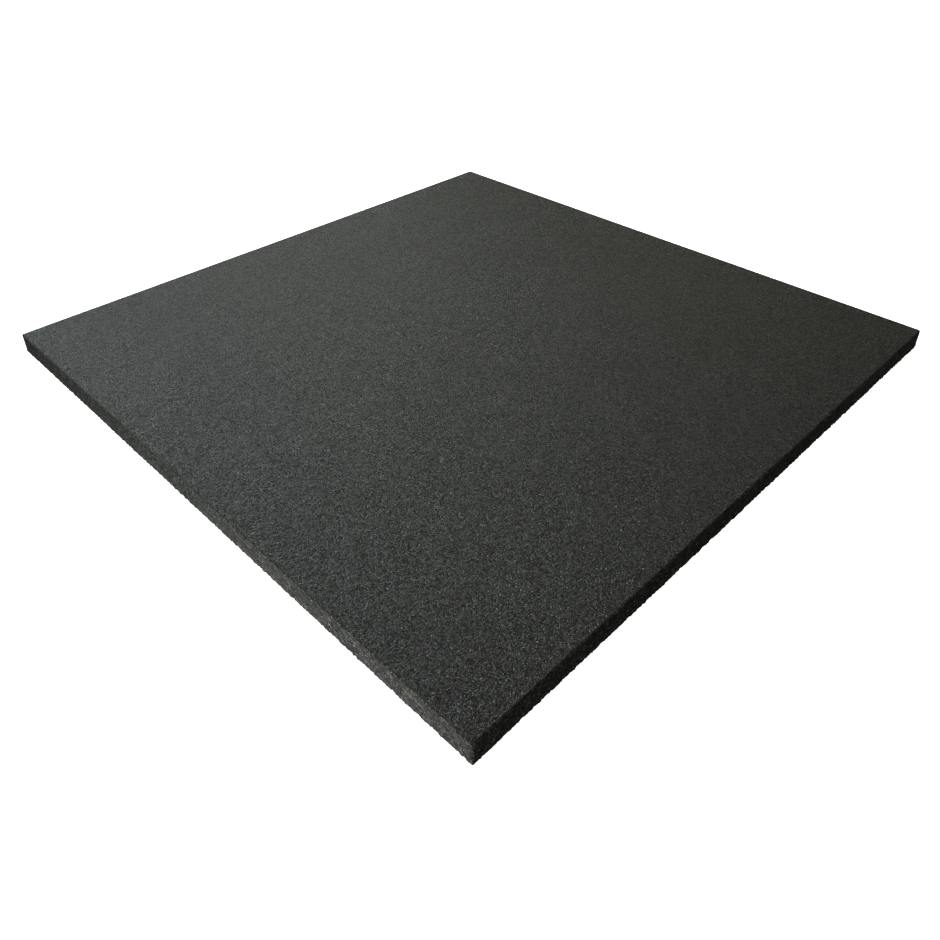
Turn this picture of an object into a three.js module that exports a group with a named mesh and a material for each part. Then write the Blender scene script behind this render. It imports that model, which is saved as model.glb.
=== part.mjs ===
// Rubber gym floor tile: one square slab, pressed in one piece from black rubber
// granulate. It lies flat, with its walking face up.
//
// Frame: millimetres, +Z up. The origin is the centre of the underside, so the
// tile stands on the plane z = 0. +X and +Y run square to its sides.
//
// The section is a plain rectangle with crisp edges: a small rounding where the
// mould closes the walking face, a small rounding on the four upright corners,
// and a sharp lower edge, where the granulate was struck off flat.

import * as THREE from 'three';

// ---- driving dimensions, mm ----
const SIDE = 1000;          // square tile, side to side
const THICKNESS = 30;       // underside to walking face
const CORNER_R = 3;         // rounding of the four upright corners, seen from above
const CORNER_STEPS = 6;     // flats in each of those quarter rounds, an even number
const ARRIS_R = 1.6;        // rounding between the walking face and the sides
const ARRIS_STEPS = 4;      // flats in that quarter round, an even number

// The tile's outline seen from above, drawn in by the given inset: a square
// with quarter-round corners, as a closed ring of points in anticlockwise order.
function outline(inset) {
  const h = SIDE / 2 - inset;
  const r = CORNER_R - inset;
  const c = h - r;
  const shape = new THREE.Shape();
  shape.moveTo(c, -h);
  shape.absarc(c, -c, r, -Math.PI / 2, 0, false);
  shape.absarc(c, c, r, 0, Math.PI / 2, false);
  shape.absarc(-c, c, r, Math.PI / 2, Math.PI, false);
  shape.absarc(-c, -c, r, Math.PI, Math.PI * 1.5, false);
  const ring = shape.getPoints(CORNER_STEPS / 2);
  // drop points that lie on the one before them, and the last, which closes on the first
  return ring.filter((p, i) => p.distanceTo(ring[(i + ring.length - 1) % ring.length]) > 1e-6);
}

// The side's section from the underside up, as [inset, height]: the sharp lower
// edge, the straight side, and the quarter round into the walking face.
const section = [[0, 0]];
const arris = new THREE.Path();
arris.absarc(ARRIS_R, THICKNESS - ARRIS_R, ARRIS_R, Math.PI, Math.PI / 2, true);
for (const p of arris.getPoints(ARRIS_STEPS / 2)) section.push([p.x, p.y]);

// The slab: one outline for each point of the section, joined by walls, and
// closed by the underside and the walking face.
function slab() {
  const rings = section.map(([inset]) => outline(inset));
  const n = rings[0].length;
  const position = [];
  rings.forEach((ring, k) => ring.forEach((p) => position.push(p.x, p.y, section[k][1])));
  const index = [];
  for (let k = 0; k + 1 < rings.length; k += 1) {
    for (let i = 0; i < n; i += 1) {
      const a = k * n + i;
      const b = k * n + ((i + 1) % n);
      index.push(a, b, b + n, a, b + n, a + n);
    }
  }
  for (const [a, b, c] of THREE.ShapeUtils.triangulateShape(rings[0], [])) index.push(c, b, a);
  const top = (rings.length - 1) * n;
  for (const [a, b, c] of THREE.ShapeUtils.triangulateShape(rings[rings.length - 1], [])) {
    index.push(top + a, top + b, top + c);
  }
  const joined = new THREE.BufferGeometry();
  joined.setAttribute('position', new THREE.Float32BufferAttribute(position, 3));
  joined.setIndex(index);
  const flat = joined.toNonIndexed();
  flat.computeVertexNormals();
  return flat;
}

// Black rubber granulate: dark charcoal grey, dull, with a slight green-blue cast.
const blackRubber = new THREE.MeshStandardMaterial({
  color: new THREE.Color().setRGB(0.045, 0.048, 0.046),
  roughness: 0.85,
  metalness: 0,
});
blackRubber.name = 'black_rubber_granulate';

const tile = new THREE.Mesh(slab(), blackRubber);
tile.name = 'rubber_tile';

const group = new THREE.Group();
group.name = 'rubber_gym_floor_tile';
group.add(tile);

export default group;
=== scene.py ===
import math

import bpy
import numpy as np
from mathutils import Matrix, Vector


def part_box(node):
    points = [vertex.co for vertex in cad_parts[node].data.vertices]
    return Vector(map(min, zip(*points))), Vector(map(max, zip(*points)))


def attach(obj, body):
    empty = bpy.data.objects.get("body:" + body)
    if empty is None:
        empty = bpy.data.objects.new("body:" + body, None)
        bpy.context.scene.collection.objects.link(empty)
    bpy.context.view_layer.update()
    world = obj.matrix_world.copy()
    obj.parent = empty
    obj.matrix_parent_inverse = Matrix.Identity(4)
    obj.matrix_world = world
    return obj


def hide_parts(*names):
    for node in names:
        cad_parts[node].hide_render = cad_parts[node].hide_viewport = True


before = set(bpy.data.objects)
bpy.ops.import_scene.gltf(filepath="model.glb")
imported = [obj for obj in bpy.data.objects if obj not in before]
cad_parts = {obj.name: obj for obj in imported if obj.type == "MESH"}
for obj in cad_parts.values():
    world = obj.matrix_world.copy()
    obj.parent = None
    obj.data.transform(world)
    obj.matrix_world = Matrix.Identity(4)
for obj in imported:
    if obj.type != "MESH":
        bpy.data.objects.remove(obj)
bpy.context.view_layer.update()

# The looks of a square rubber gym floor tile, pressed in one piece from black
# rubber granulate: one closed mesh with a crumbed, ragged side and a flat
# walking face, and one material of packed granules through the whole slab.

LO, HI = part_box("rubber_tile")
MM = 0.001
SIDE = (HI[0] - LO[0]) / MM          # 1000 mm
THICK = (HI[2] - LO[2]) / MM         # 30 mm
HALF = SIDE / 2

# ---------------------------------------------------------------- sizes, mm
CORNER_R = 3.0        # upright corners, seen from above
ARRIS_R = 1.6         # rounded edge of the walking face
RUN = 740             # steps along the straight of one side
ARC = 4               # steps round one corner
ROWS = 21             # steps up the side below the rounded edge
ARRIS = 3             # steps round that edge
BORDER = 3            # fine rows on the walking face inside the edge
BORDER_STEP = 1.35
COARSE = 8            # fine steps to one coarse step on the faces
GRID_INSET = 11.0     # where the coarse grid of the faces starts
PER_SIDE = RUN + ARC
N = 4 * PER_SIDE


# ---------------------------------------------------------------- noise in mm
def hashed(ix, iy, iz, seed):
    """Four numbers from 0 to 1 for each whole-number cell."""
    with np.errstate(over="ignore"):
        h = (
            ix.astype(np.int64).astype(np.uint64) * np.uint64(0x9E3779B97F4A7C15)
            ^ iy.astype(np.int64).astype(np.uint64) * np.uint64(0xC2B2AE3D27D4EB4F)
            ^ iz.astype(np.int64).astype(np.uint64) * np.uint64(0x165667B19E3779F9)
            ^ np.uint64(seed * 7919 + 17)
        )
        out = []
        for k in range(4):
            h = (h ^ (h >> np.uint64(30))) * np.uint64(0xBF58476D1CE4E5B9)
            h = (h ^ (h >> np.uint64(27))) * np.uint64(0x94D049BB133111EB)
            h = h ^ (h >> np.uint64(31))
            out.append((h >> np.uint64(11)).astype(np.float64) / float(1 << 53))
            h = h + np.uint64(0x9E3779B97F4A7C15)
    return out


def granules(p, size, seed):
    """For points in mm: distances to the nearest and second granule centre, in
    granule sizes, and two numbers of the nearest granule's own."""
    q = p / size
    base = np.floor(q).astype(np.int64)
    f1 = np.full(len(p), 9.0)
    f2 = np.full(len(p), 9.0)
    own = np.zeros(len(p))
    own2 = np.zeros(len(p))
    for dx in (-1, 0, 1):
        for dy in (-1, 0, 1):
            for dz in (-1, 0, 1):
                cx, cy, cz = base[:, 0] + dx, base[:, 1] + dy, base[:, 2] + dz
                a, b, c, r = hashed(cx, cy, cz, seed)
                d = np.sqrt(
                    (cx + a - q[:, 0]) ** 2 + (cy + b - q[:, 1]) ** 2 + (cz + c - q[:, 2]) ** 2
                )
                near = d < f1
                f2 = np.where(near, f1, np.minimum(f2, d))
                own = np.where(near, r, own)
                own2 = np.where(near, (r * 7.31 + a) % 1.0, own2)
                f1 = np.where(near, d, f1)
    return f1, f2, own, own2


def smooth_noise(p, size, seed):
    """Value noise from -1 to 1 for points in mm."""
    q = p / size
    base = np.floor(q).astype(np.int64)
    t = q - base
    t = t * t * (3 - 2 * t)
    total = np.zeros(len(p))
    for dx in (0, 1):
        for dy in (0, 1):
            for dz in (0, 1):
                w = (
                    (t[:, 0] if dx else 1 - t[:, 0])
                    * (t[:, 1] if dy else 1 - t[:, 1])
                    * (t[:, 2] if dz else 1 - t[:, 2])
                )
                total += w * hashed(base[:, 0] + dx, base[:, 1] + dy, base[:, 2] + dz, seed)[0]
    return total * 2 - 1


# ---------------------------------------------------------------- the outline
def outline(inset, round_by=CORNER_R):
    """The tile's outline drawn in by inset, anticlockwise from the middle of the
    corner at -X -Y, and the way out at each point."""
    h, r = HALF - inset, max(round_by - inset, 0.05)
    c = h - r
    turn = np.array([[0.0, -1.0], [1.0, 0.0]])
    pts, out = [], []
    rot = np.eye(2)
    for _ in range(4):
        side_p, side_n = [], []
        for k in range(ARC // 2):  # second half of the corner behind
            a = math.radians(-135 + 45 * k / (ARC / 2))
            side_n.append((math.cos(a), math.sin(a)))
            side_p.append((-c + r * math.cos(a), -c + r * math.sin(a)))
        for k in range(RUN + 1):
            side_n.append((0.0, -1.0))
            side_p.append((-c + 2 * c * k / RUN, -h))
        for k in range(1, ARC // 2):  # first half of the corner ahead
            a = math.radians(-90 + 45 * k / (ARC / 2))
            side_n.append((math.cos(a), math.sin(a)))
            side_p.append((c + r * math.cos(a), -c + r * math.sin(a)))
        pts.append(np.array(side_p) @ rot.T)
        out.append(np.array(side_n) @ rot.T)
        rot = turn @ rot
    return np.vstack(pts), np.vstack(out)


def ring(xy, z):
    z = np.broadcast_to(np.asarray(z, float), (len(xy),))
    return np.column_stack([xy, z])


def square_ring(a, n):
    """A square ring of n steps a side, from its -X -Y corner, anticlockwise."""
    t = np.linspace(-a, a, n + 1)[:-1]
    return np.vstack(
        [
            np.column_stack([t, np.full(n, -a)]),
            np.column_stack([np.full(n, a), t]),
            np.column_stack([-t, np.full(n, a)]),
            np.column_stack([np.full(n, -a), -t]),
        ]
    )


# ---------------------------------------------------------------- the mesh
def build_tile():
    verts, faces, island = [], [], []   # island: 0 side, 1 walking face, 2 underside
    painted_shading_values, side_of, dull = [], [], []
    count = 0

    def add(points, painted_shading, flank=0.0, matt=0.0):
        nonlocal count
        verts.append(points)
        painted_shading_values.append(np.broadcast_to(np.asarray(painted_shading, float), (len(points),)).copy())
        side_of.append(np.full(len(points), flank))
        dull.append(np.full(len(points), matt))
        first = count
        count += len(points)
        return np.arange(first, count)

    def band(low, high, where):
        """Quads between two rings of the same length, facing out of the side."""
        a, b = low, np.roll(low, -1)
        d, c = high, np.roll(high, -1)
        faces.extend(np.column_stack([a, b, c, d]).tolist())
        island.extend([where] * len(a))

    # the side, from the lower edge up to the rounded edge
    z_top = THICK - ARRIS_R
    heights = list(np.linspace(0, z_top, ROWS + 1))
    insets = [0.0] * len(heights)
    for k in range(1, ARRIS + 1):
        a = math.pi / 2 * k / ARRIS
        heights.append(z_top + ARRIS_R * math.sin(a))
        insets.append(ARRIS_R * (1 - math.cos(a)))
    rings = []
    for j, (z, inset) in enumerate(zip(heights, insets)):
        # the upright corners are sharper at the foot
        t = min(z / 9.0, 1.0)
        xy, out = outline(inset, CORNER_R * (0.4 + 0.6 * t * t * (3 - 2 * t)))
        p = ring(xy, z)
        f1, f2, own, own2 = granules(p + [3.1, 7.7, 1.3], 3.1, 11)
        dome = np.sqrt(np.clip(1 - (f1 / 0.80) ** 2, 0, 1))
        seam = np.exp(-(((f2 - f1) / 0.10) ** 2))
        clump = smooth_noise(p, 7.5, 5)
        crumb = 0.42 * (dome - 0.72) + 0.34 * (own - 0.5) - 0.20 * seam + 0.14 * clump
        # pits where a granule has come away
        lost = np.clip((own2 - 0.93) / 0.07, 0, 1)
        crumb -= 0.5 * lost * dome
        # crisp towards the walking face, ragged towards the lower edge
        crisp = np.clip((THICK - z) / 4.0, 0.0, 1.0)
        keep = 0.28 + 0.72 * crisp
        low = math.exp(-((z / 2.2) ** 2))
        torn = smooth_noise(p * [1, 1, 0.4], 3.1, 23) + 0.7 * smooth_noise(p * [1, 1, 0.4], 1.7, 29)
        push = keep * crumb + low * (0.42 * torn - 0.12)
        p[:, :2] += out * push[:, None]
        if j == 0:
            p[:, 2] = 0.02 + 0.7 * np.clip(-torn - 0.05, 0, 1)
        elif j <= 2:
            p[:, 2] += 0.35 * np.clip(-torn, 0, 1) * (3 - j) / 2
        elif j <= ROWS:
            p[:, 2] += 0.30 * (own - 0.5) * crisp
        else:
            p[:, 2] += 0.10 * smooth_noise(p, 2.3, 31)
        # painted shading on the sides: painted shade on the sunken crumbs and on the rounded edge, painted light
        # towards the foot
        painted_shading = np.clip(0.5 + push / 0.75, 0, 1) + 0.12 * (1 - z / 15)
        painted_edge_shade = 0.12 if j > ROWS else 0.0
        flank = min(1.0, (THICK - z) / 0.25)
        rings.append(add(p, painted_shading * crisp + 0.6 * (1 - crisp) - painted_edge_shade, flank, 1.0))
    for low_ring, high_ring in zip(rings, rings[1:]):
        band(low_ring, high_ring, 0)

    # slow unevenness of the pressed faces
    def swell(p, depth, seed):
        return depth * (
            smooth_noise(p, 90, seed) + 0.5 * smooth_noise(p, 38, seed + 1)
        )

    # the walking face: fine rows along the edge, then a coarse grid
    edge_xy, _ = outline(ARRIS_R)
    last = rings[-1]
    for k in range(1, BORDER + 1):
        xy = edge_xy * (1 - BORDER_STEP * k / HALF)
        p = ring(xy, THICK)
        p[:, 2] += swell(p, 0.05, 41) * k / BORDER + 0.05 * smooth_noise(p, 3.0, 47)
        here = add(p, 0.6, 0.0, 0.4 if k == 1 else 0.0)
        band(last, here, 1)
        last = here
    per = PER_SIDE // COARSE
    a = HALF - GRID_INSET

    def grid(side_n, span, z, depth, seed):
        """A square grid of points as an array of their numbers, and its ring."""
        t = np.linspace(-span, span, side_n + 1)
        x, y = np.meshgrid(t, t, indexing="ij")
        p = np.column_stack([x.ravel(), y.ravel(), np.full(x.size, float(z))])
        p[:, 2] += swell(p, depth, seed)
        num = add(p, 0.6).reshape(side_n + 1, side_n + 1)
        rim = np.concatenate([num[:-1, 0], num[-1, :-1], num[:0:-1, -1], num[0, :0:-1]])
        return num, rim

    def fill(num, where, up):
        a_, b_, c_, d_ = num[:-1, :-1], num[1:, :-1], num[1:, 1:], num[:-1, 1:]
        quads = np.stack([a_, b_, c_, d_] if up else [d_, c_, b_, a_], -1).reshape(-1, 4)
        faces.extend(quads.tolist())
        island.extend([where] * len(quads))

    def stitch(fine, coarse, ratio, where, up):
        """Triangles from a fine outer ring to a coarse inner one."""
        m = len(coarse)
        made = []
        for j in range(m):
            c0, c1 = coarse[j], coarse[(j + 1) % m]
            half = ratio // 2
            for i in range(ratio):
                f0, f1 = fine[(ratio * j + i) % len(fine)], fine[(ratio * j + i + 1) % len(fine)]
                if i == half:
                    made.append((c0, f0, c1))
                made.append((c0 if i < half else c1, f0, f1))
        for t in made:
            faces.append([int(v) for v in (t if up else t[::-1])])
            island.append(where)

    num, rim = grid(per, a, THICK, 0.05, 41)
    stitch(last, rim, COARSE, 1, True)
    fill(num, 1, True)

    # the underside: one fine row, then two coarser and coarser steps
    low_xy, _ = outline(1.6, 1.65)
    p = ring(low_xy, 0.02)
    p[:, 2] += 0.25 * np.clip(smooth_noise(p, 4.2, 23), 0, 1)
    inner = add(p, 0.5)
    band(inner, rings[0], 2)
    ring_xy = square_ring(HALF - 9.0, per)
    mid = add(ring(ring_xy, 0.02), 0.5)
    stitch(inner, mid, COARSE, 2, False)
    num, rim = grid(per // 3, HALF - 30.0, 0.02, 0.0, 61)
    stitch(mid, rim, 3, 2, False)
    fill(num, 2, False)

    verts = np.vstack(verts) * MM
    me = bpy.data.meshes.new("rubber_tile_granulate")
    me.from_pydata(verts.tolist(), [], faces)
    me.validate()
    ob = bpy.data.objects.new("rubber_tile_granulate", me)
    bpy.context.scene.collection.objects.link(ob)

    # the first of these carries the painted shade and painted light of the sides' colour
    for name, values in (("painted_shading", painted_shading_values), ("flank", side_of), ("dull", dull)):
        layer = me.attributes.new(name, "FLOAT", "POINT")
        layer.data.foreach_set("value", np.concatenate(values).astype(np.float32))

    # smooth everywhere but over the sharp lower edge
    me.polygons.foreach_set("use_smooth", np.ones(len(me.polygons), bool))
    lower = set(rings[0].tolist())
    ev = np.empty(len(me.edges) * 2, np.int32)
    me.edges.foreach_get("vertices", ev)
    on = np.isin(ev.reshape(-1, 2), list(lower)).all(1)
    sharp = me.attributes.new("sharp_edge", "BOOLEAN", "EDGE")
    sharp.data.foreach_set("value", on)

    # one map for baked copies: walking face, underside and four side strips
    island = np.array(island)
    co = verts / MM
    start = np.empty(len(me.polygons), np.int32)
    total = np.empty(len(me.polygons), np.int32)
    me.polygons.foreach_get("loop_start", start)
    me.polygons.foreach_get("loop_total", total)
    lv = np.empty(len(me.loops), np.int32)
    me.loops.foreach_get("vertex_index", lv)
    face_of = np.repeat(np.arange(len(start)), total)
    uv = np.zeros((len(lv), 2))
    where = island[face_of]
    flat = co[lv]
    top = where == 1
    uv[top] = (flat[top][:, :2] + HALF) / SIDE * 0.66 + 0.006
    under = where == 2
    uv[under] = (flat[under][:, :2] + HALF) / SIDE * 0.31 + [0.678, 0.006]
    side = where == 0
    first_face = (face_of[side] % N)             # column of the face round the tile
    strip = first_face // PER_SIDE
    ring_row = lv[side] // N                     # row of the corner, 0 at the lower edge
    column = lv[side] % N
    along = column - strip * PER_SIDE
    along = np.where(along < 0, along + N, along)
    along = np.where(along > PER_SIDE, along - N, along)
    up = np.array(heights)[np.clip(ring_row, 0, len(heights) - 1)]
    arc_up = np.where(ring_row > ROWS, (ring_row - ROWS) * ARRIS_R * math.pi / 2 / ARRIS + z_top, up)
    uv[side, 0] = 0.01 + 0.98 * along / PER_SIDE
    uv[side, 1] = 0.684 + 0.078 * strip + 0.068 * arc_up / (z_top + ARRIS_R * math.pi / 2)
    layer = me.uv_layers.new(name="OFBake")
    layer.uv.foreach_set("vector", uv.astype(np.float32).ravel())
    me.update()
    return ob


# ---------------------------------------------------------------- material
def rubber_material():
    mat = bpy.data.materials.new("black_rubber_granulate")
    mat.use_nodes = True
    nt = mat.node_tree
    nt.nodes.clear()
    new, link = nt.nodes.new, nt.links.new

    def math_node(op, a, b=None, c=None, clamp=False):
        n = new("ShaderNodeMath")
        n.operation = op
        n.use_clamp = clamp
        for i, v in enumerate((a, b, c)):
            if v is None:
                continue
            if isinstance(v, (int, float)):
                n.inputs[i].default_value = v
            else:
                link(v, n.inputs[i])
        return n.outputs[0]

    def remap(v, a, b, c, d, kind="LINEAR"):
        n = new("ShaderNodeMapRange")
        n.interpolation_type = kind
        n.clamp = True
        link(v, n.inputs["Value"])
        for name, x in (("From Min", a), ("From Max", b), ("To Min", c), ("To Max", d)):
            n.inputs[name].default_value = x
        return n.outputs["Result"]

    def voronoi(vec, scale, feature="F1", randomness=1.0):
        n = new("ShaderNodeTexVoronoi")
        n.voronoi_dimensions = "3D"
        n.feature = feature
        n.inputs["Scale"].default_value = scale
        n.inputs["Randomness"].default_value = randomness
        link(vec, n.inputs["Vector"])
        return n

    def noise(vec, scale, detail=2.0, rough=0.5):
        n = new("ShaderNodeTexNoise")
        n.noise_dimensions = "3D"
        n.inputs["Scale"].default_value = scale
        n.inputs["Detail"].default_value = detail
        n.inputs["Roughness"].default_value = rough
        link(vec, n.inputs["Vector"])
        return n

    def split(col):
        n = new("ShaderNodeSeparateColor")
        link(col, n.inputs[0])
        return n.outputs

    def vector_node(op, a, b, c=None, out="Vector"):
        n = new("ShaderNodeVectorMath")
        n.operation = op
        for i, v in enumerate((a, b, c)):
            if v is None:
                continue
            if isinstance(v, tuple):
                n.inputs[i].default_value = v
            else:
                link(v, n.inputs[i])
        return n.outputs[out]

    def mesh_value(name):
        n = new("ShaderNodeAttribute")
        n.attribute_type = "GEOMETRY"
        n.attribute_name = name
        return n.outputs["Fac"]

    def mix_colour(fac, a, b):
        n = new("ShaderNodeMix")
        n.data_type = "RGBA"
        n.inputs["A"].default_value = (*a, 1)
        n.inputs["B"].default_value = (*b, 1)
        link(fac, n.inputs["Factor"])
        return n.outputs["Result"]

    coord = new("ShaderNodeTexCoord").outputs["Object"]

    # irregular crumbs: the granule pattern is bent by a fine noise
    bend = noise(coord, 420.0, 1.0)
    bent = vector_node("MULTIPLY_ADD", bend.outputs["Color"], (0.0008, 0.0008, 0.0008), coord)

    # packed granules of 1.8 mm, with finer crumbs of 1.2 mm over them
    big = voronoi(bent, 1 / 0.0018)
    big_rgb = split(big.outputs["Color"])
    seam = voronoi(bent, 1 / 0.0018, "DISTANCE_TO_EDGE")
    fine = voronoi(coord, 1 / 0.0012)
    fine_rgb = split(fine.outputs["Color"])
    cloud = noise(coord, 7.0, 3.0, 0.55)
    mottle = noise(coord, 75.0, 2.0, 0.5)

    # how open the seam between granules is: 0 in the seam, 1 on the granule
    body = remap(seam.outputs["Distance"], 0.0, 0.20, 0.0, 1.0, "SMOOTHSTEP")

    # brightness: each granule its own, with rare pale ones, painted shade in the seams between them and slow clouding
    tone = remap(big_rgb[0], 0.0, 1.0, 0.13, 1.89)
    tone = math_node("ADD", tone, remap(big_rgb[1], 0.90, 1.0, 0.0, 1.1))
    flank = mesh_value("flank")
    speck = remap(fine_rgb[0], 0.85, 1.0, 0.0, 1.1)
    tone = math_node("ADD", tone, math_node("MULTIPLY_ADD", flank, speck, speck))
    # painted shade in the seams between granules
    tone = math_node("MULTIPLY", tone, body)
    tone = math_node("MULTIPLY", tone, remap(cloud.outputs["Fac"], 0.3, 0.7, 0.93, 1.07))
    tone = math_node("MULTIPLY", tone, remap(mottle.outputs["Fac"], 0.3, 0.7, 0.95, 1.05))
    # painted shade on the sunken crumbs and rounded edge of the sides, painted light towards their foot
    tone = math_node("MULTIPLY", tone, remap(mesh_value("painted_shading"), 0.0, 1.0, 0.45, 1.32))

    # the struck sides show coarser crumbs, some of them pale, and a warmer dust; their colour is also lighter as a
    # painted sheen, in place of the reflection their full roughness takes away
    coarse = voronoi(bent, 1 / 0.0029)
    coarse_rgb = split(coarse.outputs["Color"])
    lump = remap(coarse_rgb[0], 0.0, 1.0, 0.10, 1.60)
    lump = math_node("ADD", lump, remap(coarse_rgb[1], 0.76, 1.0, 0.0, 1.7))
    lump = math_node("MULTIPLY_ADD", flank, math_node("SUBTRACT", lump, 1.0), 1.0)
    tone = math_node("MULTIPLY", tone, lump)

    # hue: black rubber crumbs, some a little cooler and some a little warmer
    hue = mix_colour(
        remap(big_rgb[2], 0.2, 0.8, 0.0, 1.0), (0.0358, 0.0373, 0.0354), (0.0369, 0.0375, 0.0347)
    )
    # warmer dust on the sides, and a lighter colour there that is painted sheen
    dust_and_sheen = mix_colour(flank, (1.0, 1.0, 1.0), (1.37, 1.35, 1.25))
    hue = vector_node("MULTIPLY", hue, dust_and_sheen)
    shade = new("ShaderNodeVectorMath")
    shade.operation = "SCALE"
    link(hue, shade.inputs[0])
    link(tone, shade.inputs["Scale"])

    # relief, in metres: domed granules at their own heights, each tilted its own
    # way, with finer crumbs on them
    dome = remap(big.outputs["Distance"], 0.0, 0.75, 1.0, 0.0, "SMOOTHSTEP")
    grit = remap(fine.outputs["Distance"], 0.0, 0.8, 1.0, 0.0, "SMOOTHSTEP")
    relief = math_node("MULTIPLY_ADD", dome, 0.55, math_node("MULTIPLY", big_rgb[1], 0.35))
    relief = math_node("MULTIPLY_ADD", body, 0.35, relief)
    relief = math_node("MULTIPLY_ADD", grit, 0.28, relief)
    off_centre = vector_node("SUBTRACT", bent, big.outputs["Position"])
    lean = vector_node("SUBTRACT", big.outputs["Color"], (0.5, 0.5, 0.5))
    tilt = vector_node("DOT_PRODUCT", off_centre, lean, out="Value")
    relief = math_node("MULTIPLY_ADD", relief, 0.0004, math_node("MULTIPLY", tilt, 0.42))
    bump = new("ShaderNodeBump")
    bump.inputs["Strength"].default_value = 1.0
    bump.inputs["Distance"].default_value = 1.0
    link(relief, bump.inputs["Height"])

    # roughness: dull crumbs, and smoother ones where the mould pressed a granule flat,
    # but none on the sides and their rounded edge
    rough = math_node(
        "MULTIPLY_ADD", fine_rgb[1], 0.05, remap(big_rgb[0], 0.0, 1.0, 0.90, 0.18)
    )
    rough = math_node("MAXIMUM", rough, math_node("MULTIPLY", mesh_value("dull"), 0.97))

    bsdf = new("ShaderNodeBsdfPrincipled")
    bsdf.inputs["Metallic"].default_value = 0.0
    bsdf.inputs["IOR"].default_value = 1.5
    bsdf.inputs["Specular IOR Level"].default_value = 0.5
    bsdf.inputs["Sheen Weight"].default_value = 0.0
    link(shade.outputs["Vector"], bsdf.inputs["Base Color"])
    link(rough, bsdf.inputs["Roughness"])
    link(bump.outputs["Normal"], bsdf.inputs["Normal"])
    out = new("ShaderNodeOutputMaterial")
    link(bsdf.outputs["BSDF"], out.inputs["Surface"])
    return mat


tile = build_tile()
tile.data.materials.append(rubber_material())
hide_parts("rubber_tile")
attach(tile, "root")


# ---------------------------------------------------------------- camera
# Solved from the tile's corners and edges in the 940 x 940 picture, whose
# optical axis passes 358 pixels below its upper edge.
AZ, EL, ROLL = math.radians(-44.91), math.radians(32.76), math.radians(-0.30)
DIST, FOCAL_PX, AXIS_Y = 1.346, 861.0, 358.0
AIM = np.array([-0.021, -0.019, 0.0])
back = np.array([math.sin(AZ) * math.cos(EL), -math.cos(AZ) * math.cos(EL), math.sin(EL)])
right = np.cross(-back, [0, 0, 1])
right /= np.linalg.norm(right)
up = np.cross(right, -back)
r2 = right * math.cos(ROLL) + up * math.sin(ROLL)
u2 = -right * math.sin(ROLL) + up * math.cos(ROLL)
cam_data = bpy.data.cameras.new("camera")
cam = bpy.data.objects.new("camera", cam_data)
bpy.context.scene.collection.objects.link(cam)
place = AIM + back * DIST
cam.matrix_world = Matrix(
    [[r2[i], u2[i], back[i], place[i]] for i in range(3)] + [[0, 0, 0, 1]]
)
cam_data.type = "PERSP"
cam_data.sensor_fit = "HORIZONTAL"
cam_data.sensor_width = 36.0
cam_data.lens = FOCAL_PX / 940 * 36.0
cam_data.shift_x = 0.0
cam_data.shift_y = (AXIS_Y - 470.0) / 940
cam_data.clip_start, cam_data.clip_end = 0.02, 100
cam_data.dof.use_dof = False
bpy.context.scene.camera = cam


# ---------------------------------------------------------------- stage
def stage_material(name, base, glow):
    mat = bpy.data.materials.new(name)
    mat.use_nodes = True
    b = mat.node_tree.nodes["Principled BSDF"]
    b.inputs["Base Color"].default_value = (*base, 1)
    b.inputs["Roughness"].default_value = 0.9
    b.inputs["Specular IOR Level"].default_value = 0.0
    b.inputs["Emission Color"].default_value = (1, 1, 1, 1)
    b.inputs["Emission Strength"].default_value = glow
    return mat


def disc(name, radius, z, steps=96):
    me = bpy.data.meshes.new(name)
    ang = np.linspace(0, 2 * math.pi, steps, endpoint=False)
    me.from_pydata(
        [(radius * math.cos(a), radius * math.sin(a), z) for a in ang], [], [list(range(steps))]
    )
    ob = bpy.data.objects.new(name, me)
    bpy.context.scene.collection.objects.link(ob)
    return ob


def dome(name, radius, z, rings=16, steps=64):
    me = bpy.data.meshes.new(name)
    v, f = [], []
    for j in range(rings):
        e = math.pi / 2 * j / rings
        for k in range(steps):
            a = 2 * math.pi * k / steps
            v.append((radius * math.cos(e) * math.cos(a), radius * math.cos(e) * math.sin(a), z + radius * math.sin(e)))
    v.append((0, 0, z + radius))
    for j in range(rings - 1):
        for k in range(steps):
            a, b = j * steps + k, j * steps + (k + 1) % steps
            f.append((b, a, a + steps, b + steps))
    for k in range(steps):
        a, b = (rings - 1) * steps + k, (rings - 1) * steps + (k + 1) % steps
        f.append((b, a, len(v) - 1))
    me.from_pydata(v, [], f)
    ob = bpy.data.objects.new(name, me)
    bpy.context.scene.collection.objects.link(ob)
    return ob


floor = disc("floor", 14.0, -0.0003)
floor.data.materials.append(stage_material("floor_white", (0.80, 0.80, 0.80), 1.0))
backdrop = dome("backdrop", 13.9, -0.01)
backdrop.data.materials.append(stage_material("backdrop_white", (0.0, 0.0, 0.0), 1.05))
for ob in (floor, backdrop):
    ob.visible_diffuse = False
    ob.visible_glossy = False
    ob.visible_transmission = False
    ob.visible_shadow = False


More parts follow.
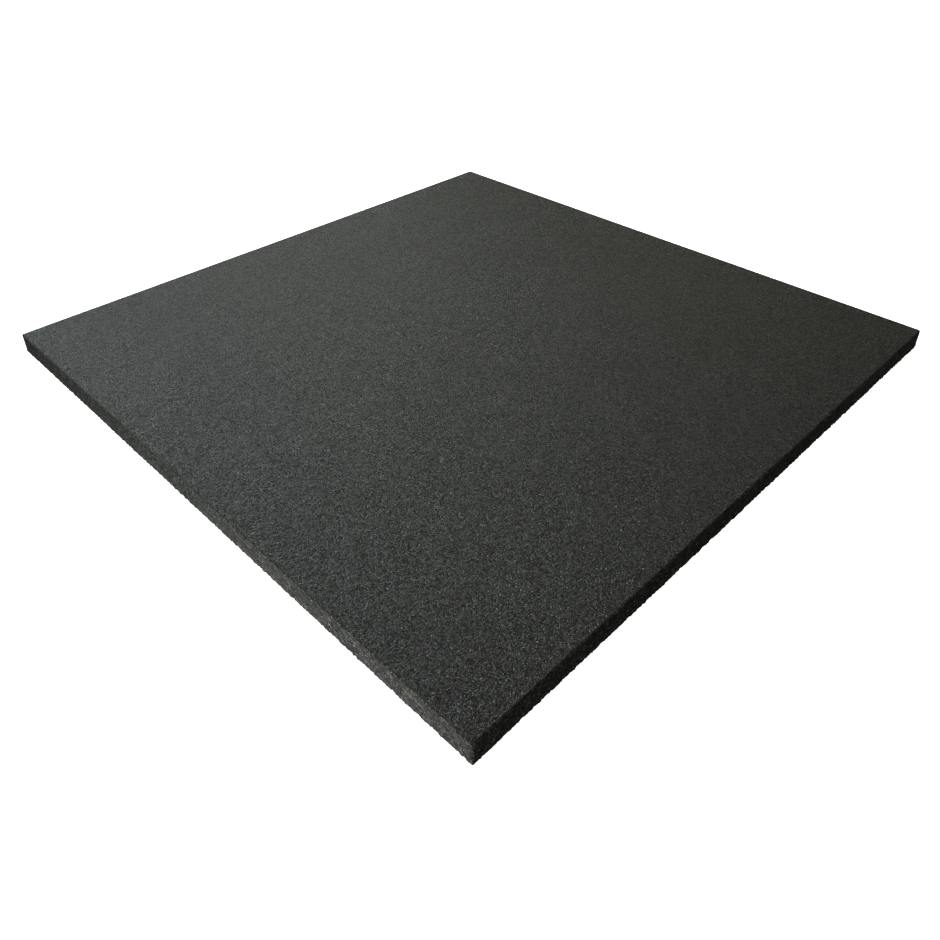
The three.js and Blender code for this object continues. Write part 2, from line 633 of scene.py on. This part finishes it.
# ---------------------------------------------------------------- light
def softbox(name, at, aim, size, watts, colour):
    d = bpy.data.lights.new(name, "AREA")
    d.shape = "RECTANGLE"
    d.size, d.size_y = size
    d.energy = watts
    d.color = colour
    ob = bpy.data.objects.new(name, d)
    bpy.context.scene.collection.objects.link(ob)
    at, aim = np.array(at, float), np.array(aim, float)
    z = (at - aim) / np.linalg.norm(at - aim)
    x = np.cross([0, 0, 1], z)
    x = x / np.linalg.norm(x) if np.linalg.norm(x) > 1e-6 else np.array([1.0, 0, 0])
    y = np.cross(z, x)
    ob.matrix_world = Matrix([[x[i], y[i], z[i], at[i]] for i in range(3)] + [[0, 0, 0, 1]])
    ob.visible_camera = False
    return ob


softbox("key_back", (0.8, 1.6, 1.3), (0.2, 0.3, 0.0), (0.9, 0.9), 11.3, (0.97, 1.0, 0.88))
softbox("top_back", (0.1, 1.1, 1.7), (0.0, 0.3, 0.0), (0.8, 0.8), 21.6, (0.96, 1.0, 0.96))
softbox("left_back", (-0.55, 1.35, 1.0), (-0.45, 0.4, 0.0), (0.4, 0.4), 6.4, (0.84, 1.0, 1.10))
softbox("low_back", (-0.9, 1.5, 0.5), (-0.3, 0.4, 0.0), (0.5, 0.4), 5.0, (1.0, 1.0, 1.0))
softbox("right", (2.2, 0.6, 0.9), (0.5, 0.2, 0.0), (1.2, 0.8), 3.2, (1.0, 1.0, 0.70))
softbox("front_right", (1.1, -1.9, 0.9), (0.3, -0.5, 0.015), (1.0, 0.6), 6.6, (1.0, 1.0, 0.92))
softbox("near_top", (-0.40, -0.40, 0.45), (-0.40, -0.40, 0.0), (0.3, 0.3), 0.13, (1.0, 1.0, 1.0))
# strips no higher than the tile, which light its sides and not its walking face
softbox("strip_near", (-1.1, -0.47, 0.016), (-0.5, -0.45, 0.016), (0.5, 0.026), 5.0, (1.0, 1.0, 1.0))
softbox("strip_left", (-1.1, -0.15, 0.016), (-0.5, -0.15, 0.016), (0.5, 0.026), 3.4, (0.92, 1.0, 0.91))
softbox("strip_right", (1.3, 0.0, 0.016), (0.5, 0.0, 0.016), (0.9, 0.026), 3.5, (1.0, 1.0, 0.96))

world = bpy.data.worlds.new("studio")
bpy.context.scene.world = world
world.use_nodes = True
bg = world.node_tree.nodes["Background"]
bg.inputs["Color"].default_value = (1.0, 1.0, 0.80, 1)
bg.inputs["Strength"].default_value = 0.012

scene = bpy.context.scene
scene.view_settings.view_transform = "Standard"
scene.view_settings.look = "None"
scene.view_settings.exposure = 0.0
scene.view_settings.gamma = 1.0
scene.cycles.use_denoising = True
scene.cycles.denoising_prefilter = "NONE"
scene.cycles.filter_width = 1.3
